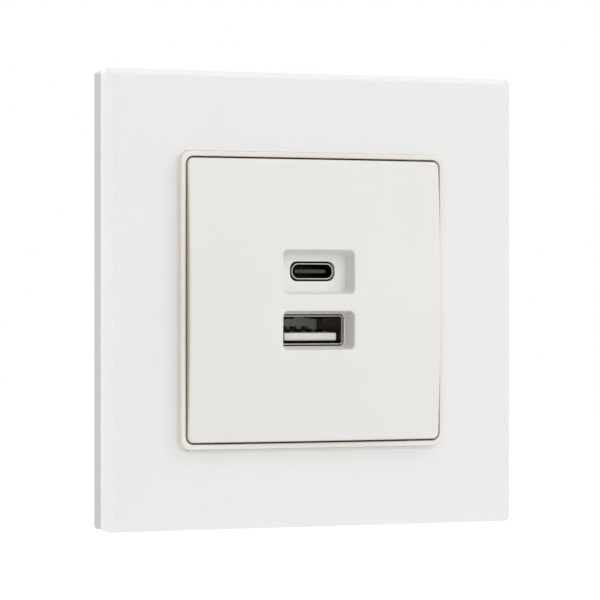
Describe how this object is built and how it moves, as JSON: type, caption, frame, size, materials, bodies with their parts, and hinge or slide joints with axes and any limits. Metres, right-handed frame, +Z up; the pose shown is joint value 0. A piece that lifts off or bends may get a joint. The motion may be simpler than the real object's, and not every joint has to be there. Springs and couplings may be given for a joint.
{
  "type": "usb wall socket",
  "caption": "Square flush wall socket with a glass frame and a domed centre plate, an upper C port and a lower A port, screw clamps for mains wires and spreading claws.",
  "frame": {"origin": "centre of the frame on the wall plane, between the two box screws", "axes": "+Y into the wall, -Y out of the glass front, +Z up the wall, +X to the right seen from the front"},
  "size_m": [0.086, 0.039, 0.086],
  "materials": {
    "clear_glass": "polished, printed white on its rear",
    "white_plastic": "satin",
    "cream_plastic": "satin",
    "cover_plastic": "matt",
    "carrier_plastic": "fine grain",
    "housing_plastic": "fine grain",
    "tape": "foam",
    "zinc_steel": "zinc plated sheet",
    "screw_steel": "zinc plated",
    "port_steel": "nickel plated",
    "brass_bar": "bright",
    "gold_contact": "gold plated",
    "white_insulator": "moulded",
    "dark_insulator": "moulded",
    "circuit_board": "solder mask",
    "ferrite": "ceramic",
    "bobbin_plastic": "moulded",
    "winding_tape": "wrapped tape",
    "can_sleeve": "shrunk sleeve",
    "fuse_body": "moulded",
    "ceramic_coat": "dipped",
    "chip_resin": "moulded"
  },
  "bodies": {
    "socket": {"glass_plate": "clear_glass", "glass_adhesive": "tape", "frame_carrier": "carrier_plastic", "trim_ring": "white_plastic", "centre_plate": "cream_plastic", "front_cover": "cover_plastic", "module_housing": "housing_plastic", "support_ring": "zinc_steel", "terminal_bar_live": "brass_bar", "terminal_bar_neutral": "brass_bar", "port_board": "circuit_board", "power_board": "circuit_board", "board_header": "bobbin_plastic", "board_pins": "gold_contact", "usb_a_shell": "port_steel", "usb_a_insulator": "white_insulator", "usb_a_contacts": "gold_contact", "usb_c_shell": "port_steel", "usb_c_insulator": "dark_insulator", "usb_c_contacts": "gold_contact", "transformer_core": "ferrite", "transformer_bobbin": "bobbin_plastic", "transformer_winding": "winding_tape", "input_capacitors": "can_sleeve", "output_capacitors": "can_sleeve", "mains_choke": "ferrite", "mains_fuse": "fuse_body", "y_capacitor": "ceramic_coat", "bridge_rectifier": "chip_resin", "optocoupler": "chip_resin", "converter_chip": "chip_resin", "rectifier_chip": "chip_resin", "charge_chip": "chip_resin"},
    "claw_left": {"claw_left": "zinc_steel"},
    "claw_right": {"claw_right": "zinc_steel"},
    "claw_screw_left": {"claw_screw_left": "screw_steel"},
    "claw_screw_right": {"claw_screw_right": "screw_steel"},
    "terminal_cage_live": {"terminal_cage_live": "zinc_steel"},
    "terminal_cage_neutral": {"terminal_cage_neutral": "zinc_steel"},
    "terminal_screw_live": {"terminal_screw_live": "screw_steel"},
    "terminal_screw_neutral": {"terminal_screw_neutral": "screw_steel"}
  },
  "joints": [
    {"name": "claw_right_swing", "type": "hinge", "parent": "socket", "child": "claw_right", "pos_m": [0.0216, 0.00375, 0], "axis": [0, 0, -1], "range_deg": [0, 25]},
    {"name": "claw_screw_right_turn", "type": "hinge", "parent": "socket", "child": "claw_screw_right", "pos_m": [0.0242, 0, 0], "axis": [0, 1, 0], "range_deg": [0, 795]},
    {"name": "claw_left_swing", "type": "hinge", "parent": "socket", "child": "claw_left", "pos_m": [-0.0216, 0.00375, 0], "axis": [0, 0, 1], "range_deg": [0, 25]},
    {"name": "claw_screw_left_turn", "type": "hinge", "parent": "socket", "child": "claw_screw_left", "pos_m": [-0.0242, 0, 0], "axis": [0, 1, 0], "range_deg": [0, 795]},
    {"name": "terminal_cage_live_lift", "type": "slide", "parent": "socket", "child": "terminal_cage_live", "axis": [0, 1, 0], "range_m": [0, 0.0024]},
    {"name": "terminal_screw_live_turn", "type": "hinge", "parent": "socket", "child": "terminal_screw_live", "pos_m": [-0.0082, 0, -0.0162], "axis": [0, -1, 0], "range_deg": [0, 1735]},
    {"name": "terminal_cage_neutral_lift", "type": "slide", "parent": "socket", "child": "terminal_cage_neutral", "axis": [0, 1, 0], "range_m": [0, 0.0024]},
    {"name": "terminal_screw_neutral_turn", "type": "hinge", "parent": "socket", "child": "terminal_screw_neutral", "pos_m": [0.0082, 0, -0.0162], "axis": [0, -1, 0], "range_deg": [0, 1735]}
  ],
  "couplings": [
    {"joint": "claw_screw_right_turn", "follows": "claw_right_swing", "ratio": 31.6},
    {"joint": "claw_screw_left_turn", "follows": "claw_left_swing", "ratio": 31.6},
    {"joint": "terminal_screw_live_turn", "follows": "terminal_cage_live_lift", "rad_per_m": 12566},
    {"joint": "terminal_screw_neutral_turn", "follows": "terminal_cage_neutral_lift", "rad_per_m": 12566}
  ]
}
